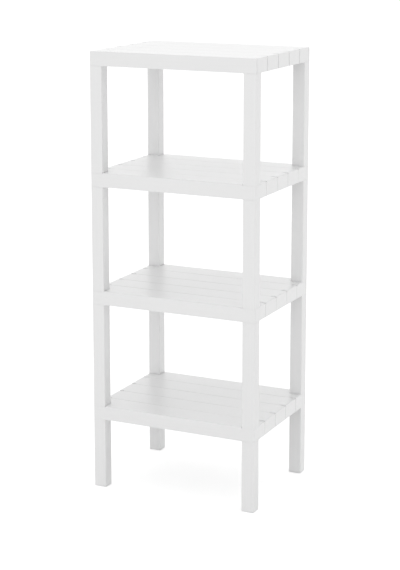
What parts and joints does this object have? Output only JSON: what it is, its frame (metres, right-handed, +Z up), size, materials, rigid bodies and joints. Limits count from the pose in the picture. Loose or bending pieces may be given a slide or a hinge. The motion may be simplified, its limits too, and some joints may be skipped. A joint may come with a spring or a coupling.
{
  "type": "shelving unit",
  "caption": "Free-standing plastic shelving unit: slatted rectangular shelves on square corner legs that push together over hidden plugs, with plain square feet.",
  "frame": {"origin": "on the floor, under the middle of the unit", "axes": "+Z up, the front faces -Y, +X to the right seen from the front, the slats run along X"},
  "size_m": [0.37, 0.28, 0.93],
  "materials": {
    "shelf_plastic": "white moulded plastic, satin with a soft gloss on the deck",
    "leg_plastic": "white moulded plastic, satin, faint upright streaks",
    "plug_plastic": "natural white plastic, matte, hidden inside the joints",
    "foot_plastic": "white plastic, matte underside that slides on the floor"
  },
  "bodies": {
    "root": {"top_shelf": "shelf_plastic", "upper_shelf": "shelf_plastic", "middle_shelf": "shelf_plastic", "lower_shelf": "shelf_plastic", "upper_leg_front_left": "leg_plastic", "upper_leg_front_right": "leg_plastic", "upper_leg_rear_left": "leg_plastic", "upper_leg_rear_right": "leg_plastic", "middle_leg_front_left": "leg_plastic", "middle_leg_front_right": "leg_plastic", "middle_leg_rear_left": "leg_plastic", "middle_leg_rear_right": "leg_plastic", "lower_leg_front_left": "leg_plastic", "lower_leg_front_right": "leg_plastic", "lower_leg_rear_left": "leg_plastic", "lower_leg_rear_right": "leg_plastic", "foot_leg_front_left": "leg_plastic", "foot_leg_front_right": "leg_plastic", "foot_leg_rear_left": "leg_plastic", "foot_leg_rear_right": "leg_plastic", "top_plug_front_left": "plug_plastic", "top_plug_front_right": "plug_plastic", "top_plug_rear_left": "plug_plastic", "top_plug_rear_right": "plug_plastic", "upper_plug_front_left": "plug_plastic", "upper_plug_front_right": "plug_plastic", "upper_plug_rear_left": "plug_plastic", "upper_plug_rear_right": "plug_plastic", "middle_plug_front_left": "plug_plastic", "middle_plug_front_right": "plug_plastic", "middle_plug_rear_left": "plug_plastic", "middle_plug_rear_right": "plug_plastic", "lower_plug_front_left": "plug_plastic", "lower_plug_front_right": "plug_plastic", "lower_plug_rear_left": "plug_plastic", "lower_plug_rear_right": "plug_plastic", "foot_cap_front_left": "foot_plastic", "foot_cap_front_right": "foot_plastic", "foot_cap_rear_left": "foot_plastic", "foot_cap_rear_right": "foot_plastic"}
  },
  "joints": []
}
